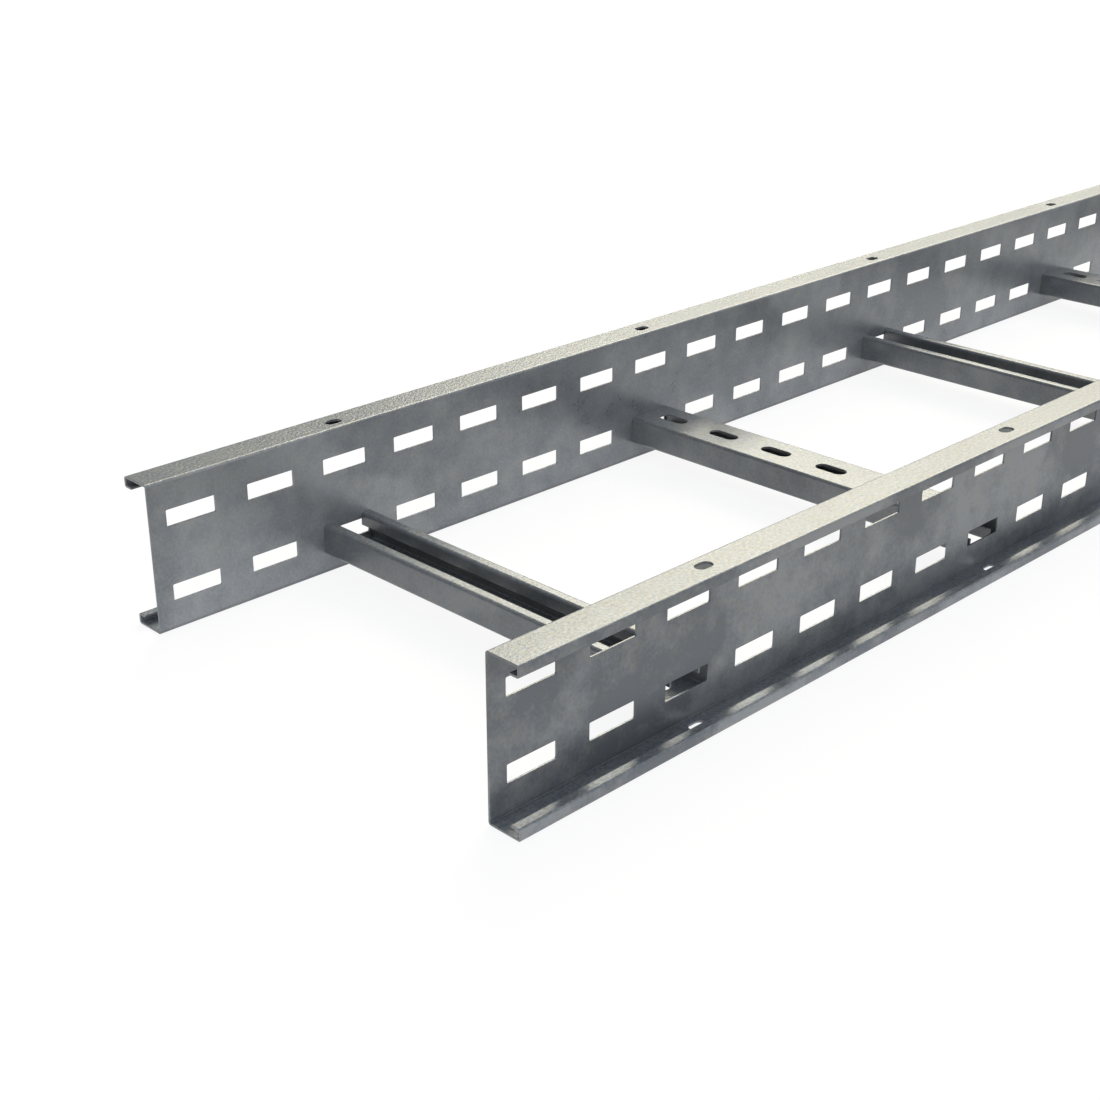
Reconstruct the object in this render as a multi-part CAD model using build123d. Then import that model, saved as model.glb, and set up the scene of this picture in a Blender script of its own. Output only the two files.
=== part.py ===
from build123d import *
from math import sqrt
import os

# Cable ladder section: two side rails with a row of rungs between them, all of
# cold-formed galvanised sheet steel. Millimetres, +Z up, lying as it is laid on its
# supports. The origin is on the supports' level, under the middle of the section.
# X runs along the rails, and Y from the front rail to the back one.

# Section as a whole: a row of like bays, with a rung in the middle of each
rung_count = 10
rung_pitch = 300.0
section_length = rung_count * rung_pitch
inner_width = 300.0          # clear width between the two webs

# Side rail: an upright web with both flanges turned outwards, away from the
# cables. Each flange ends in a lip, and the lip in a narrow return.
rail_height = 100.0
rail_flange = 24.0           # from the web's inner face to the lip's outer face
rail_lip = 7.5
rail_return = 7.0
rail_sheet = 1.5
rail_bend = 0.5              # inside radius of the rail's bends

# Punching of the web: two rows of rectangular slots, one of them behind each rung
slots_per_bay = 5
web_slot_pitch = rung_pitch / slots_per_bay
web_slot_length = 35.5
web_slot_height = 11.0
web_row_spacing = 50.0

# Oblong hole in each flange beside every rung, above and below
flange_hole_length = 12.0
flange_hole_width = 7.5
flange_hole_offset = 10.5    # from the web's inner face to the middle of the hole

# Rung: a lipped channel, its open side up and down in turn
rung_width = 41.0
rung_height = 21.0
rung_level = 14.0            # from the supports to the rung's underside
rung_sheet = 1.5
rung_bend = 1.0              # inside radius of the rung's bends
rung_mouth = 22.5            # clear width between the two lips
rung_return = 9.0            # depth of the lips' turned-in edges

# Punching of the rung's base: one row of oblong slots
rung_slot_pitch = 50.0
rung_slot_length = 25.0
rung_slot_width = 11.0

# The rungs, counted from 1, whose two middle slots take cleat bolts
cleat_rungs = (1, 5)

# The cutting tools reach this far past the sheet that they cut
overshoot = 2.0
# Added to a division, so that copies that fill a span exactly aren't rounded down
exact_fit = 1e-6


def evenly_spaced(count, pitch):
    """Places of a row of copies, centred on 0."""
    return [(i - (count - 1) / 2) * pitch for i in range(count)]


def bent_sheet(outside, sheet, inside_radius):
    """Section of a bent sheet: its outer side follows the points, all left turns."""
    outer_side = FilletPolyline(*outside, radius=inside_radius + sheet)
    return make_face(offset(outer_side, amount=sheet, side=Side.LEFT).edges())


def oblong(length, width, round_ended):
    """Outline of an oblong hole along X.

    A hole that takes a bolt of the ladder's fittings has true round ends. The many
    others have three flats round each end, as an eight-sided hole of that width has.
    """
    if round_ended:
        return SlotOverall(length, width)
    flat = width / (1 + sqrt(2))
    return chamfer(Rectangle(length, width).vertices(), (width - flat) / 2)


def rail_section():
    """Rail seen from its end: the web's inner face at 0, the flanges pointing out."""
    tip = rail_flange - rail_return
    upper_return = rail_height - rail_lip
    return bent_sheet(
        [
            (tip, upper_return),
            (rail_flange, upper_return),
            (rail_flange, rail_height),
            (0, rail_height),
            (0, 0),
            (rail_flange, 0),
            (rail_flange, rail_lip),
            (tip, rail_lip),
        ],
        rail_sheet,
        rail_bend,
    )


def web_slots():
    """The two rows of slots, as blocks that pass through the web at 0."""
    depth = rail_sheet + 2 * overshoot
    block = Box(web_slot_length, depth, web_slot_height)
    rows = [rail_height / 2 + side * web_row_spacing / 2 for side in (-1, 1)]
    return [
        Pos(x, rail_sheet / 2, z) * block
        for x in evenly_spaced(rung_count * slots_per_bay, web_slot_pitch)
        for z in rows
    ]


def flange_holes():
    """An upright cutter at each rung, through the lower and the upper flange.

    The holes beside the first and the last rung take the hold-down and cover bolts.
    """
    places = evenly_spaced(rung_count, rung_pitch)
    cutters = []
    for x in places:
        outline = oblong(flange_hole_length, flange_hole_width, x in (places[0], places[-1]))
        cutter = extrude(outline, amount=rail_height + 2 * overshoot)
        cutters.append(Pos(x, flange_hole_offset, -overshoot) * cutter)
    return cutters


def side_rail():
    """One rail along X, its web's inner face at Y = 0 and its flanges towards +Y."""
    profile = Plane.YZ * rail_section()
    rail = Pos(-section_length / 2, 0, 0) * extrude(profile, amount=section_length, dir=(1, 0, 0))
    return rail - web_slots() - flange_holes()


def rung_section():
    """Rung seen from its end: standing on its base, the mouth between the lips up."""
    wall = rung_width / 2
    lip_edge = rung_mouth / 2
    return_end = rung_height - rung_return
    return bent_sheet(
        [
            (-lip_edge, return_end),
            (-lip_edge, rung_height),
            (-wall, rung_height),
            (-wall, 0),
            (wall, 0),
            (wall, rung_height),
            (lip_edge, rung_height),
            (lip_edge, return_end),
        ],
        rung_sheet,
        rung_bend,
    )


def base_slots(takes_cleats):
    """The row of slots along a rung, as cutters that pass through its base at 0."""
    cutters = []
    for y in evenly_spaced(int(inner_width / rung_slot_pitch + exact_fit), rung_slot_pitch):
        in_middle_pair = abs(y) < rung_slot_pitch
        outline = oblong(rung_slot_length, rung_slot_width, takes_cleats and in_middle_pair)
        cutter = extrude(Rot(0, 0, 90) * outline, amount=rung_sheet + 2 * overshoot)
        cutters.append(Pos(0, y, -overshoot) * cutter)
    return cutters


def rung(takes_cleats):
    """One rung across the ladder, cut square to end on the two webs' inner faces."""
    profile = Plane.XZ * rung_section()
    channel = extrude(profile, amount=inner_width / 2, both=True)
    return channel - base_slots(takes_cleats)


def write(node, shape):
    """One file per sub-part, named after it."""
    shape.label = node
    export_step(shape, f"parts/{node}.step")


def make_rails():
    """The back rail, and the front one as the same rail turned about."""
    back = Pos(0, inner_width / 2, 0) * side_rail()
    write("side_rail_back", back)
    write("side_rail_front", Rot(0, 0, 180) * back)


def make_rungs():
    """The first rung has its mouth up, the next one lies upside down, and so on."""
    turned_over = Pos(0, 0, rung_height) * Rot(0, 180, 0)
    for number, x in enumerate(evenly_spaced(rung_count, rung_pitch), start=1):
        channel = rung(takes_cleats=number in cleat_rungs)
        if number % 2 == 0:
            channel = turned_over * channel
        write(f"rung_{number:02d}", Pos(x, 0, rung_level) * channel)


os.makedirs("parts", exist_ok=True)
make_rails()
make_rungs()
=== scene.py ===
from math import cos, pi, radians, sin

import bmesh
import bpy
from mathutils import Matrix, Vector


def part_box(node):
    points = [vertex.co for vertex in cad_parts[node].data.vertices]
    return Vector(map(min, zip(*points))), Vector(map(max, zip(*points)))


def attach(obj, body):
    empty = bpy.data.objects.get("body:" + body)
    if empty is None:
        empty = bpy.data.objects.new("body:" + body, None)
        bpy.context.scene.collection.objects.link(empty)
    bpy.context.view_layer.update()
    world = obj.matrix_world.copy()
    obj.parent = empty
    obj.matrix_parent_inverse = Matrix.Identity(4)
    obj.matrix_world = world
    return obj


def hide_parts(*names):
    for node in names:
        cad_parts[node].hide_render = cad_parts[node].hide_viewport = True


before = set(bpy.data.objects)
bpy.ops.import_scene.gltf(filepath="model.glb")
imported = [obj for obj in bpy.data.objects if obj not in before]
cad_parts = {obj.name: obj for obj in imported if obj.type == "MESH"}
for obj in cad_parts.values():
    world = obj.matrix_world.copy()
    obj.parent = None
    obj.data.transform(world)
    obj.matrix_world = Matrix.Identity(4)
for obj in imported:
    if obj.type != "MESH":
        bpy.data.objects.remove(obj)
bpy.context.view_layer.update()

# Cable ladder section in galvanised sheet steel. Metres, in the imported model's frame:
# X runs along the rails, Y from the front rail to the back one, +Z up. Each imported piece
# is replaced by the same punched and bent sheet, with finer bends and worn edges.

mm = 0.001

# Sheet of both rails and rungs, and how far the punched edges are worn round
sheet = 1.5 * mm
worn_edge = 0.18 * mm

# Side rail: web, outward flanges, lips and returns
rail_outer_bend = 2.0 * mm
rail_lip = 7.5 * mm
rail_return = 7.0 * mm
slots_per_bay = 5
web_slot_length = 35.5 * mm
web_slot_height = 11.0 * mm
web_slot_corner = 0.7 * mm
web_row_spacing = 50.0 * mm
flange_hole_length = 12.0 * mm
flange_hole_width = 7.5 * mm
flange_hole_offset = 10.5 * mm

# Rung: lipped channel with a row of oblong slots in its base
rung_outer_bend = 2.5 * mm
rung_mouth = 22.5 * mm
rung_return = 9.0 * mm
rung_slot_pitch = 50.0 * mm
rung_slot_length = 25.0 * mm
rung_slot_width = 11.0 * mm

# Fineness of the meshes: facets in a bend, in a slot's corner and in a quarter round
bend_facets = 7
corner_facets = 3
quarter_facets = 7
weld_distance = 0.001 * mm            # corners that lie closer become one
smooth_angle = radians(30)            # steeper edges between facets stay sharp
rounding = 1e-9                       # leeway where places along a section are compared

# What the frame gives
rail_nodes = {"front": "side_rail_front", "back": "side_rail_back"}
rung_nodes = sorted(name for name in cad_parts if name.startswith("rung_"))
back_low, back_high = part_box("side_rail_back")
section_start, section_end = back_low[0], back_high[0]
section_length = section_end - section_start
web_face = back_low[1]
rail_flange = back_high[1] - back_low[1]
rail_height = back_high[2] - back_low[2]
bay = section_length / len(rung_nodes)

# The camera, fitted to the slots of both rails in a photograph of 1100 x 1100 pixels
camera_place = Vector((-1.9980, -0.7010, 0.4843))
camera_bearing = radians(44.556)      # from +Y towards +X
camera_dip = radians(24.066)          # below the horizon
camera_roll = radians(0.133)
camera_lens = 56.27                   # in mm, as is the film's width
camera_film = 36.0
camera_near = 0.05
camera_far = 200.0

# Zinc coat: colours in linear light, and tints that shift them
zinc_dark = (0.132, 0.140, 0.152, 1)
zinc_light = (0.245, 0.252, 0.262, 1)
cool_tint = (0.930, 0.990, 1.090, 1)
warm_tint = (1.070, 1.010, 0.890, 1)

# Its patterns, by how often they repeat in a metre
cloud_scale = 8.5
crystal_scale = 13.0
crystal_softness = 0.2                # how softly two crystals meet
swirl_scale = 16.0
swirl_reach = 30.0 * mm               # how far the swirls bend the crystals' edges
patch_scale = 60.0
spangle_scale = 300.0
grain_scale = 480.0

# Shares of the patterns in the mottling and in the tint
cloud_share = 0.52
patch_share = 0.30
crystal_share = 0.15
spangle_share = 0.75

# The stretch of a pattern's values that is spread over its full effect
cloudy_range = (0.38, 0.585)
speckle_range = (0.34, 0.66)
tint_range = (0.38, 0.62)
gloss_range = (0.35, 0.65)

# Where the coat and its painted light and shade change: from upright to flat sides, by the upward
# part of the normal, at a web's foot and head, by height, and past its lower bend
flat_range = (0.5, 0.95)
foot_range = (5.0 * mm, 50.0 * mm)
head_range = (50.0 * mm, 95.0 * mm)
crease_range = (0.5 * mm, 1.8 * mm)

# Strengths of the effects, painted light and shade among them. A pair is for upright sides and for
# flat tops.
speckling = (0.24, 0.70)
tinting = (0.42, 0.80)
# painted cool shade: a bluer hue low down, most on flat tops
foot_painted_cool_shade = (0.06, 0.32)
# painted shade: upright sides darker towards their top
head_painted_shade = (0.11, 0.0)
# painted light: lighter low down, on all sides
foot_painted_light = 0.17
# painted shade in the bend between a rail's web and its lower flange
crease_painted_shade = 0.3
flat_clouding = 0.15                  # as a share of the upright sides' clouding
dullest_patches = 0.07                # what they add to the roughness
grain_strength = 0.22

# What differs between the coats: where their patterns start, their painted light and shade (how
# light they are painted), how strongly clouded, their gloss, and how deep the grain of their flat
# tops is
back_coat = {
    "shift": (0, 0, 0),
    # painted light: the back rail is painted lighter than the front one
    "painted_tone": (1.09, 1.11),
    "clouding": 0.80,
    "metallic": 0.34,
    "roughness": (0.27, 0.315),
    "relief": 1.8 * mm,
}
front_coat = {
    "shift": (5.3, 0.4, 2.6),
    # painted shade: the front rail is painted darker than the back one
    "painted_tone": (0.925, 0.94),
    "clouding": 1.25,
    "metallic": 0.50,
    "roughness": (0.34, 0.33),
    "relief": 0.6 * mm,
}
rung_coat = {
    "shift": (3.1, 1.7, 0.9),
    # painted shade: the rungs' upright sides are painted darker than their tops
    "painted_tone": (0.77, 0.97),
    "clouding": 0.75,
    "metallic": 0.35,
    "roughness": (0.28, 0.265),
    "relief": 0.6 * mm,
}

# Studio: a big soft light high behind the far end, a soft white room and a pale floor
key_bearing = radians(63)             # from +Y towards +X
key_height = radians(41)              # above the horizon
key_distance = 12.0
key_width = 10.7
key_depth = 8.7
key_power = 1815.0
key_tint = (1.0, 0.945, 0.77)

room_bearing = radians(12)            # from +Y towards +X, where it is darkest
room_in_front = 1.55                  # on the camera's side, low down
room_behind = 0.15                    # on the far side, low down
room_overhead = 0.62
room_at_skyline = 1.08                # white, where the floor ends
room_tint = (0.93, 0.98, 1.03, 1)
room_turn = (-0.85, 0.25)             # cosine of the angle to the darkest bearing
room_rise = (0.3, 0.95)               # sine of the height, from low down to overhead
skyline_rise = (0.07, 0.13)           # sine of the height, where the white ends

floor_reach = 60.0
floor_gap = 0.2 * mm                  # below the rails
floor_pale = (0.96, 0.96, 0.96, 1)    # as it lights the ladder
floor_faint = (0.12, 0.12, 0.12, 1)   # as it shows the shadow, under the glow
floor_white = (1, 1, 1, 1)
floor_glow = 0.89


def make_camera():
    """A camera that looks along the ladder as the photograph does."""
    ahead = Vector((
        sin(camera_bearing) * cos(camera_dip),
        cos(camera_bearing) * cos(camera_dip),
        -sin(camera_dip),
    ))
    level = ahead.cross(Vector((0, 0, 1))).normalized()
    downward = ahead.cross(level)
    right = level * cos(camera_roll) + downward * sin(camera_roll)
    down = downward * cos(camera_roll) - level * sin(camera_roll)
    data = bpy.data.cameras.new("camera")
    data.lens = camera_lens
    data.sensor_width = camera_film
    data.clip_start = camera_near
    data.clip_end = camera_far
    camera = bpy.data.objects.new("camera", data)
    turned = Matrix((right, -down, -ahead)).transposed().to_4x4()
    camera.matrix_world = Matrix.Translation(camera_place) @ turned
    bpy.context.collection.objects.link(camera)
    bpy.context.scene.camera = camera


class Signal:
    """A node's output that can stand in an expression; each operator adds its Math node."""

    def __init__(self, nodes, socket):
        self.nodes = nodes
        self.socket = socket

    def math(self, operation, first, second):
        return self.nodes.add("ShaderNodeMath", {"operation": operation}, {0: first, 1: second})

    def __add__(self, other):
        return self.math("ADD", self, other)

    def __radd__(self, other):
        return self.math("ADD", other, self)

    def __sub__(self, other):
        return self.math("SUBTRACT", self, other)

    def __rsub__(self, other):
        return self.math("SUBTRACT", other, self)

    def __mul__(self, other):
        return self.math("MULTIPLY", self, other)

    def __rmul__(self, other):
        return self.math("MULTIPLY", other, self)

    def __abs__(self):
        return self.math("ABSOLUTE", self, 0.0)

    def at_least(self, other):
        return self.math("MAXIMUM", self, other)

    def part(self, axis):
        """The X, Y or Z of an output that is a vector or a colour."""
        return self.nodes.add("ShaderNodeSeparateXYZ", {}, {"Vector": self}, axis)


# Places of the Mix node's colour sockets, because its other sockets have the same names
mix_first, mix_second, mix_result = 6, 7, 2


class Nodes:
    """The node tree of a material or of the world, written as expressions."""

    def __init__(self, tree):
        self.tree = tree
        tree.nodes.clear()

    def add(self, kind, settings=None, sockets=None, output=0):
        """A node: its settings first, then the values or links of its sockets."""
        node = self.tree.nodes.new(kind)
        for name, value in (settings or {}).items():
            setattr(node, name, value)
        for key, value in (sockets or {}).items():
            self.feed(node.inputs[key], value)
        return Signal(self, node.outputs[output]) if node.outputs else None

    def feed(self, socket, value):
        if isinstance(value, Signal):
            self.tree.links.new(value.socket, socket)
        else:
            socket.default_value = value

    def vectors(self, operation, sockets, output="Vector"):
        """Maths on vectors and colours."""
        return self.add("ShaderNodeVectorMath", {"operation": operation}, sockets, output)

    def blend(self, amount, first, second):
        """A colour between two others."""
        sockets = {"Factor": amount, mix_first: first, mix_second: second}
        return self.add("ShaderNodeMix", {"data_type": "RGBA"}, sockets, mix_result)

    def spread(self, signal, low, high, to_low=0.0, to_high=1.0):
        """Stretches a signal's range between two values, held at both ends."""
        sockets = {
            "Value": signal,
            "From Min": low,
            "From Max": high,
            "To Min": to_low,
            "To Max": to_high,
        }
        return self.add("ShaderNodeMapRange", {"clamp": True}, sockets)

    def noise(self, place, scale, detail, roughness=0.5, distortion=0.0, output=0):
        sockets = {
            "Vector": place,
            "Scale": scale,
            "Detail": detail,
            "Roughness": roughness,
            "Distortion": distortion,
        }
        return self.add("ShaderNodeTexNoise", {}, sockets, output)


def new_material(name):
    material = bpy.data.materials.new(name)
    material.use_nodes = True
    return material, Nodes(material.node_tree)


def by_facing(upward, upright, flat):
    """A strength that goes from one value on upright sides to another on flat tops."""
    return upright + upward * (flat - upright)


def rail_crease_shade_mask(nodes, place):
    """1 in a rail's bend between web and lower flange, falling to 0 past it: where shade is
    painted.
    """
    past_web = abs(place.part("Y")) - (web_face + sheet)
    past_flange = place.part("Z") - sheet
    return nodes.spread(past_web.at_least(past_flange), *crease_range, 1.0, 0.0)


def zinc_crystals(nodes, place):
    """Broad crystals with swirled edges, each with a value of its own."""
    swirl = nodes.noise(place, swirl_scale, detail=1.0, output="Color")
    reach = (swirl_reach, swirl_reach, swirl_reach)
    bent = nodes.vectors("MULTIPLY_ADD", {0: swirl, 1: reach, 2: place})
    crystals = nodes.add(
        "ShaderNodeTexVoronoi",
        {"feature": "SMOOTH_F1"},
        {"Vector": bent, "Scale": crystal_scale, "Smoothness": crystal_softness},
        "Color",
    )
    return crystals.part("X")


def zinc_mottling(nodes, clouds, patches, crystals, grain, upward, clouding):
    """How light the zinc is, from 0 to 1: clouds, with a fine speckle over them."""
    cloudy = clouds * cloud_share + patches * patch_share + crystals * crystal_share
    cloudy = nodes.spread(cloudy, *cloudy_range)
    speckle = nodes.spread(grain, *speckle_range)
    cloud_strength = by_facing(upward, clouding, clouding * flat_clouding)
    speckle_strength = by_facing(upward, *speckling)
    return 0.5 + (cloudy - 0.5) * cloud_strength + (speckle - 0.5) * speckle_strength


def zinc_tint(nodes, spangle, patches, upward, foot):
    """The slight hue of the spangle, with painted cool shade towards a web's foot."""
    warmth = spangle * spangle_share + patches * (1 - spangle_share)
    warmth = nodes.spread(warmth, *tint_range)
    painted_cool_shade = foot * by_facing(upward, *foot_painted_cool_shade)
    warmth = 0.5 + (warmth - 0.5) * by_facing(upward, *tinting) - painted_cool_shade
    return nodes.blend(warmth, cool_tint, warm_tint)


def zinc_coat(name, shift, painted_tone, clouding, metallic, roughness, relief):
    """Dull galvanised zinc: cloudy patches, fine spangle, soft uneven gloss, painted light and
    shade.
    """
    material, nodes = new_material(name)
    on_ladder = nodes.add("ShaderNodeTexCoord", output="Object")
    crease_shade_mask = rail_crease_shade_mask(nodes, on_ladder)
    height = on_ladder.part("Z")
    foot = nodes.spread(height, *foot_range, 1.0, 0.0)
    head = nodes.spread(height, *head_range)
    facing = nodes.add("ShaderNodeNewGeometry", output="Normal")
    upward = nodes.spread(facing.part("Z"), *flat_range)

    place = nodes.vectors("ADD", {0: on_ladder, 1: shift})
    clouds = nodes.noise(place, cloud_scale, detail=4.0, roughness=0.55, distortion=0.4)
    patches = nodes.noise(place, patch_scale, detail=3.0, roughness=0.6)
    spangle = nodes.noise(place, spangle_scale, detail=2.0, roughness=0.6)
    grain = nodes.noise(place, grain_scale, detail=1.5, roughness=0.6)
    crystals = zinc_crystals(nodes, place)

    mottling = zinc_mottling(nodes, clouds, patches, crystals, grain, upward, clouding)
    colour = nodes.blend(mottling, zinc_dark, zinc_light)
    tint = zinc_tint(nodes, spangle, patches, upward, foot)
    colour = nodes.vectors("MULTIPLY", {0: colour, 1: tint})
    # Painted light and shade: the coat's tone by facing, lighter low down, darker high on upright
    # sides and in the crease
    painted_shade = head * by_facing(upward, *head_painted_shade) + crease_shade_mask * crease_painted_shade
    painted_light_and_shade = by_facing(upward, *painted_tone) * (1 + foot * foot_painted_light - painted_shade)
    colour = nodes.vectors("SCALE", {0: colour, "Scale": painted_light_and_shade})

    dullness = nodes.spread((patches + clouds) * 0.5, *gloss_range, 0.0, dullest_patches)
    relief_sockets = {"Strength": grain_strength, "Distance": relief, "Height": grain * upward}
    coat_sockets = {
        "Base Color": colour,
        "Metallic": metallic,
        "Roughness": dullness + by_facing(upward, *roughness),
        "Normal": nodes.add("ShaderNodeBump", {}, relief_sockets),
    }
    shader = nodes.add("ShaderNodeBsdfPrincipled", {}, coat_sockets)
    nodes.add("ShaderNodeOutputMaterial", {}, {"Surface": shader})
    return material


class Fold:
    """The outer side of a bent sheet's section: straight stretches joined by right-angled
    bends, all to the left. A place along it gives a point and the way into the sheet."""

    def __init__(self, corners, radius):
        self.corners = [Vector(corner) for corner in corners]
        self.radius = radius
        self.starts = [0.0]
        for i in range(len(corners) - 2):
            self.starts.append(self.starts[-1] + self.straight(i) + radius * pi / 2)

    def heading(self, i):
        return (self.corners[i + 1] - self.corners[i]).normalized()

    def straight(self, i):
        """Length of the stretch after corner i, without the bends at its ends."""
        bends = (0 if i == 0 else 1) + (0 if i == len(self.corners) - 2 else 1)
        return (self.corners[i + 1] - self.corners[i]).length - bends * self.radius

    def beyond(self, i, distance):
        """Place along the sheet of what lies that far past corner i, as if it were sharp."""
        return self.starts[i] + distance - (0 if i == 0 else self.radius)

    def lines(self, facets):
        """Places where the flat facets meet: both ends of each stretch, and within the bends."""
        places = []
        for i, start in enumerate(self.starts):
            places += [start, start + self.straight(i)]
            if i < len(self.starts) - 1:
                step = self.radius * pi / 2 / facets
                places += [start + self.straight(i) + step * k for k in range(1, facets)]
        return places

    def at(self, along, depth):
        """Point at a place along the section, so deep under its outer side."""
        i = max(k for k, start in enumerate(self.starts) if along >= start - rounding)
        ahead = self.heading(i)
        inward = Vector((-ahead.y, ahead.x))
        past = along - self.starts[i]
        origin = self.corners[i] + ahead * (0 if i == 0 else self.radius)
        if past <= self.straight(i) + rounding:
            return origin + ahead * past + inward * depth
        turned = (past - self.straight(i)) / self.radius
        centre = origin + ahead * self.straight(i) + inward * self.radius
        return centre + (ahead * sin(turned) - inward * cos(turned)) * (self.radius - depth)


def rounded_outline(length, width, radius, facets, grown):
    """Quarter rounds of a hole, from its high corner on, turning left, grown on all sides."""
    quarters = []
    for quarter, (side_u, side_v) in enumerate([(1, 1), (-1, 1), (-1, -1), (1, -1)]):
        centre = Vector((side_u * (length / 2 - radius), side_v * (width / 2 - radius)))
        quarters.append([
            centre + (radius + grown) * Vector((cos(turn), sin(turn)))
            for turn in ((quarter + k / facets) * pi / 2 for k in range(facets + 1))
        ])
    return quarters


def within(value, low, high):
    return max(low, min(high, value))


class PunchedStrip:
    """A sheet that is marked out flat, punched and bent. Its lines across and along make
    cells, and each hole lies in a cell of its own."""

    def __init__(self, across, along, fold, place):
        self.bm = bmesh.new()
        self.across = across          # places of the lines across the strip
        self.along = along            # places of the lines along it, on the section
        self.fold = fold
        self.place = place            # takes a point of the section to its place in the frame
        self.holes = {}

    def vertex(self, u, v, depth):
        """A corner of the mesh, from its place on the flat strip."""
        return self.bm.verts.new(self.place(u, self.fold.at(v, depth)))

    def punch(self, u, v, length, width, radius, facets):
        """Marks out a hole, its length along the strip."""
        i = max(k for k, line in enumerate(self.across) if line < u)
        j = max(k for k, line in enumerate(self.along) if line < v)
        self.holes[i, j] = (Vector((u, v)), length, width, radius, facets)

    def ring(self, hole, grown, depth):
        """Corners round a hole, as four quarters."""
        centre, length, width, radius, facets = hole
        return [
            [self.vertex(*(centre + point), depth) for point in quarter]
            for quarter in rounded_outline(length, width, radius, facets, grown)
        ]

    def border(self, inset, depth):
        """Corners round the strip, in order."""
        last_u, last_v = len(self.across) - 1, len(self.along) - 1
        walk = [(i, 0) for i in range(last_u)] + [(last_u, j) for j in range(last_v)]
        walk += [(i, last_v) for i in range(last_u, 0, -1)] + [(0, j) for j in range(last_v, 0, -1)]
        return {step: self.inner(*step, inset, depth) for step in walk}

    def inner(self, i, j, inset, depth):
        """Corner where two lines cross, kept that far inside the strip's edges."""
        u = within(self.across[i], self.across[0] + inset, self.across[-1] - inset)
        v = within(self.along[j], self.along[0] + inset, self.along[-1] - inset)
        return self.vertex(u, v, depth)

    def face(self, corners, turned):
        self.bm.faces.new(reversed(corners) if turned else corners)

    def punched_cell(self, cell, quarters, turned):
        """Faces between the four corners of a cell and the ring of its hole."""
        for q, quarter in enumerate(quarters):
            for first, second in zip(quarter, quarter[1:]):
                self.face([cell[q], second, first], turned)
            after = (q + 1) % len(quarters)
            self.face([cell[q], cell[after], quarters[after][0], quarter[-1]], turned)

    def skin(self, depth, turned):
        """One side of the sheet. Returns its grid of corners and the rings of its holes."""
        grid = {
            (i, j): self.inner(i, j, worn_edge, depth)
            for i in range(len(self.across))
            for j in range(len(self.along))
        }
        rings = {}
        for i in range(len(self.across) - 1):
            for j in range(len(self.along) - 1):
                cell = [grid[i + 1, j + 1], grid[i, j + 1], grid[i, j], grid[i + 1, j]]
                if (i, j) in self.holes:
                    rings[i, j] = self.ring(self.holes[i, j], worn_edge, depth)
                    self.punched_cell(cell, rings[i, j], turned)
                else:
                    self.face(cell, turned)
        return grid, rings

    def join(self, outer, inner):
        """A closed band between two loops of as many corners."""
        for k in range(len(outer)):
            following = (k + 1) % len(outer)
            self.bm.faces.new([outer[k], outer[following], inner[following], inner[k]])

    def edge_bands(self, loops):
        for outer, inner in zip(loops, loops[1:]):
            self.join(outer, inner)

    def close(self):
        """Both sides, and between them the worn edges of the holes and of the strip."""
        outer_grid, outer_rings = self.skin(0.0, False)
        inner_grid, inner_rings = self.skin(sheet, True)
        for cell, hole in self.holes.items():
            rings = [
                outer_rings[cell],
                self.ring(hole, 0.0, worn_edge),
                self.ring(hole, 0.0, sheet - worn_edge),
                inner_rings[cell],
            ]
            self.edge_bands([[corner for quarter in ring for corner in quarter] for ring in rings])
        near = self.border(0.0, worn_edge)
        far = self.border(0.0, sheet - worn_edge)
        loops = [
            [outer_grid[step] for step in near],
            list(near.values()),
            list(far.values()),
            [inner_grid[step] for step in near],
        ]
        self.edge_bands([loop[::-1] for loop in loops])

    def make(self, name, material):
        """The punched and bent strip as one piece with a closed mesh."""
        self.close()
        bmesh.ops.remove_doubles(self.bm, verts=self.bm.verts, dist=weld_distance)
        bmesh.ops.recalc_face_normals(self.bm, faces=self.bm.faces)
        mesh = bpy.data.meshes.new(name)
        self.bm.to_mesh(mesh)
        self.bm.free()
        for polygon in mesh.polygons:
            polygon.use_smooth = True
        mesh.set_sharp_from_angle(angle=smooth_angle)
        piece = bpy.data.objects.new(name, mesh)
        piece.data.materials.append(material)
        weighted = piece.modifiers.new("flat sides stay flat", "WEIGHTED_NORMAL")
        weighted.keep_sharp = True
        bpy.context.collection.objects.link(piece)
        return piece


def rail_fold():
    """Section of a rail: how far out from the web's inner face its corners lie, and how high."""
    tip = rail_flange - rail_return
    upper_return = rail_height - rail_lip
    corners = [
        (tip, upper_return),
        (rail_flange, upper_return),
        (rail_flange, rail_height),
        (0, rail_height),
        (0, 0),
        (rail_flange, 0),
        (rail_flange, rail_lip),
        (tip, rail_lip),
    ]
    return Fold(corners, rail_outer_bend)


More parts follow.
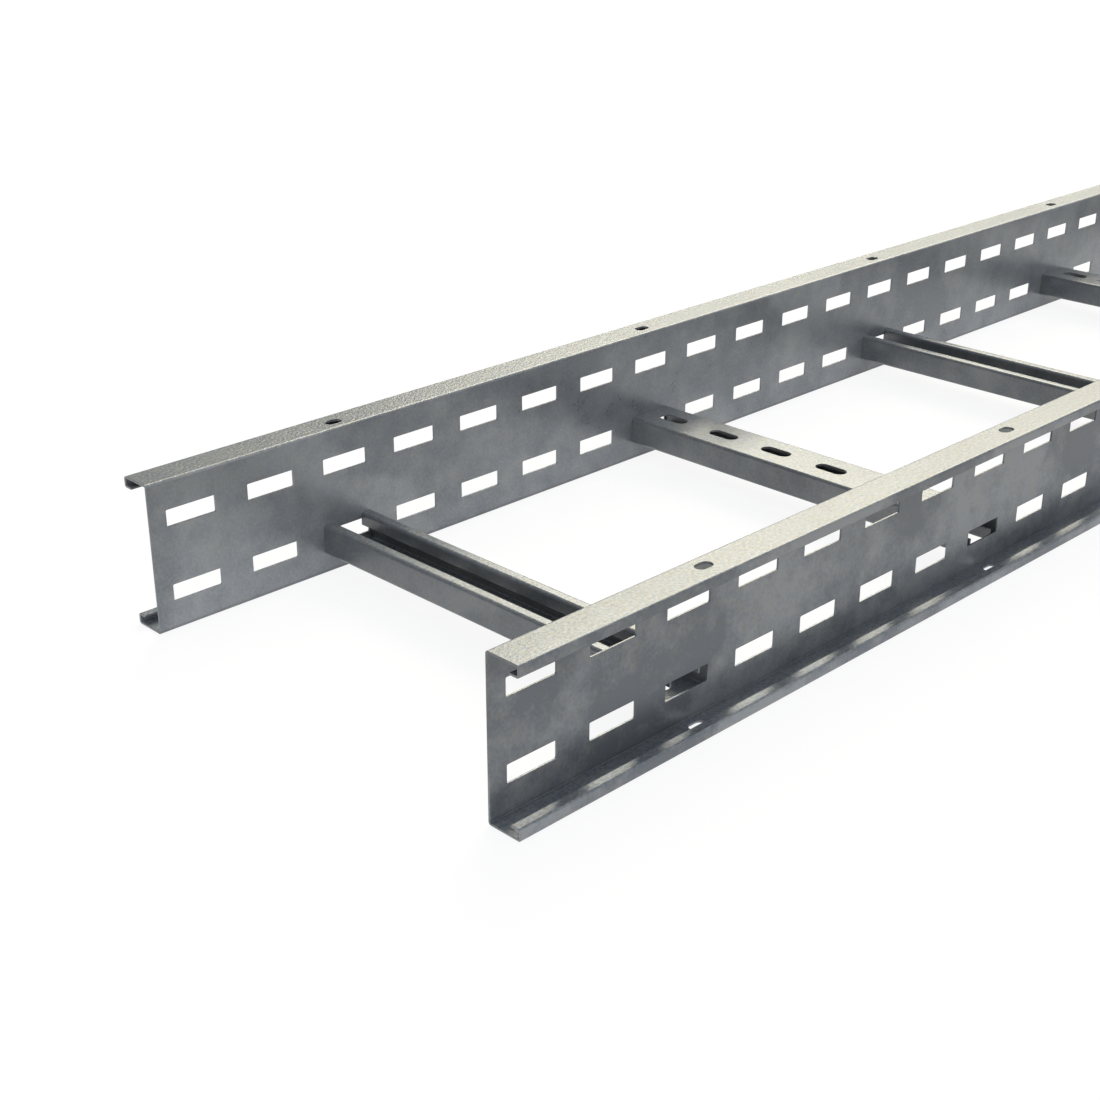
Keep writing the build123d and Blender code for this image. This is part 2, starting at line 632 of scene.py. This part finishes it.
def make_rail(side, outward, material):
    """A side rail. outward is 1 for the back rail and -1 for the front one."""
    fold = rail_fold()
    upper_flange, web, lower_flange = 2, 3, 4    # stretches of the section, from 0 on
    pitch = bay / slots_per_bay
    slots = len(rung_nodes) * slots_per_bay
    across = [section_start + pitch * i for i in range(slots + 1)]
    middle = fold.beyond(web, rail_height / 2)
    along = sorted(fold.lines(bend_facets) + [middle])

    def place(u, point):
        return Vector((u * outward, (web_face + point.x) * outward, point.y))

    strip = PunchedStrip(across, along, fold, place)
    for i in range(slots):
        u = section_start + pitch * (i + 0.5)
        for row in (-1, 1):
            v = middle + row * web_row_spacing / 2
            strip.punch(u, v, web_slot_length, web_slot_height, web_slot_corner, corner_facets)
    from_fold = {upper_flange: rail_flange - flange_hole_offset, lower_flange: flange_hole_offset}
    round_end = flange_hole_width / 2
    for i in range(len(rung_nodes)):
        u = section_start + bay * (i + 0.5)
        for stretch, distance in from_fold.items():
            v = fold.beyond(stretch, distance)
            strip.punch(u, v, flange_hole_length, flange_hole_width, round_end, quarter_facets)
    piece = strip.make(f"rail_{side}", material)
    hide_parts(rail_nodes[side])
    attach(piece, "root")


def rung_fold(width, height):
    """Section of a rung that stands on its base, its mouth up."""
    wall, lip_edge, return_end = width / 2, rung_mouth / 2, height - rung_return
    corners = [
        (-lip_edge, return_end),
        (-lip_edge, height),
        (-wall, height),
        (-wall, 0),
        (wall, 0),
        (wall, height),
        (lip_edge, height),
        (lip_edge, return_end),
    ]
    return Fold(corners, rung_outer_bend)


def make_rung(node, mouth_up, material):
    """A rung between the webs, its mouth up or down."""
    low, high = (Vector(corner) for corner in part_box(node))
    size = high - low
    centre = (low + high) / 2
    fold = rung_fold(size.x, size.z)
    base = 3                          # stretch of the section, from 0 on
    slots = round(size.y / rung_slot_pitch)
    across = [low.y + size.y * i / slots for i in range(slots + 1)]
    over = 1 if mouth_up else -1

    def place(u, point):
        height = low.z + point.y if mouth_up else high.z - point.y
        return Vector((centre.x + point.x * over, u, height))

    strip = PunchedStrip(across, fold.lines(bend_facets), fold, place)
    v = fold.beyond(base, size.x / 2)
    round_end = rung_slot_width / 2
    for i in range(slots):
        u = low.y + rung_slot_pitch * (i + 0.5)
        strip.punch(u, v, rung_slot_length, rung_slot_width, round_end, quarter_facets)
    piece = strip.make(f"{node}_channel", material)
    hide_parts(node)
    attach(piece, "root")


def make_ladder():
    """Both rails, and the rungs between them with their mouths up and down in turn."""
    make_rail("back", 1, zinc_coat("back rail zinc", **back_coat))
    make_rail("front", -1, zinc_coat("front rail zinc", **front_coat))
    rung_zinc = zinc_coat("rung zinc", **rung_coat)
    for number, node in enumerate(rung_nodes, start=1):
        make_rung(node, number % 2 == 1, rung_zinc)


def make_key_light():
    """A softbox that faces the ladder from behind its far end."""
    data = bpy.data.lights.new("softbox", "AREA")
    data.shape = "RECTANGLE"
    data.size = key_width
    data.size_y = key_depth
    data.energy = key_power
    data.color = key_tint
    lamp = bpy.data.objects.new("softbox", data)
    toward = Vector((
        sin(key_bearing) * cos(key_height),
        cos(key_bearing) * cos(key_height),
        sin(key_height),
    ))
    lamp.location = toward * key_distance
    lamp.rotation_euler = toward.to_track_quat("Z", "Y").to_euler()
    bpy.context.collection.objects.link(lamp)


def make_room():
    """A pale surround that lights the object softly."""
    world = bpy.data.worlds.new("room")
    bpy.context.scene.world = world
    world.use_nodes = True
    nodes = Nodes(world.node_tree)
    direction = nodes.add("ShaderNodeTexCoord", output="Generated")
    height = direction.part("Z")
    ahead = (sin(room_bearing), cos(room_bearing), 0)
    away = nodes.vectors("DOT_PRODUCT", {0: direction, 1: ahead}, output="Value")
    low_down = nodes.spread(away, *room_turn, room_in_front, room_behind)
    strength = low_down + (room_overhead - low_down) * nodes.spread(height, *room_rise)
    skyline = nodes.spread(height, *skyline_rise, 1.0, 0.0)
    strength = strength + (room_at_skyline - strength) * skyline
    light = nodes.add("ShaderNodeBackground", {}, {"Color": room_tint, "Strength": strength})
    nodes.add("ShaderNodeOutputWorld", {}, {"Surface": light})


def seen_directly(nodes):
    """1 where the camera sees a thing itself, or in gloss or through glass, else 0."""
    def ray(name):
        return nodes.add("ShaderNodeLightPath", output=name)
    seen = ray("Is Camera Ray") + ray("Is Glossy Ray") + ray("Is Transmission Ray")
    return nodes.spread(seen, 0.0, 1.0)


def make_floor():
    """A pale floor that keeps a faint shadow of the object."""
    bm = bmesh.new()
    bmesh.ops.create_grid(bm, x_segments=1, y_segments=1, size=floor_reach)
    mesh = bpy.data.meshes.new("floor")
    bm.to_mesh(mesh)
    bm.free()
    floor = bpy.data.objects.new("floor", mesh)
    floor.location.z = -floor_gap
    material, nodes = new_material("pale floor")
    plain = nodes.add("ShaderNodeBsdfDiffuse", {}, {"Color": floor_pale})
    faint = nodes.add("ShaderNodeBsdfDiffuse", {}, {"Color": floor_faint})
    glow = nodes.add("ShaderNodeEmission", {}, {"Color": floor_white, "Strength": floor_glow})
    shown = nodes.add("ShaderNodeAddShader", {}, {0: faint, 1: glow})
    both = nodes.add("ShaderNodeMixShader", {}, {0: seen_directly(nodes), 1: plain, 2: shown})
    nodes.add("ShaderNodeOutputMaterial", {}, {"Surface": both})
    floor.data.materials.append(material)
    bpy.context.collection.objects.link(floor)


make_camera()
make_key_light()
make_room()
make_floor()
make_ladder()
bpy.context.scene.view_settings.view_transform = "Standard"
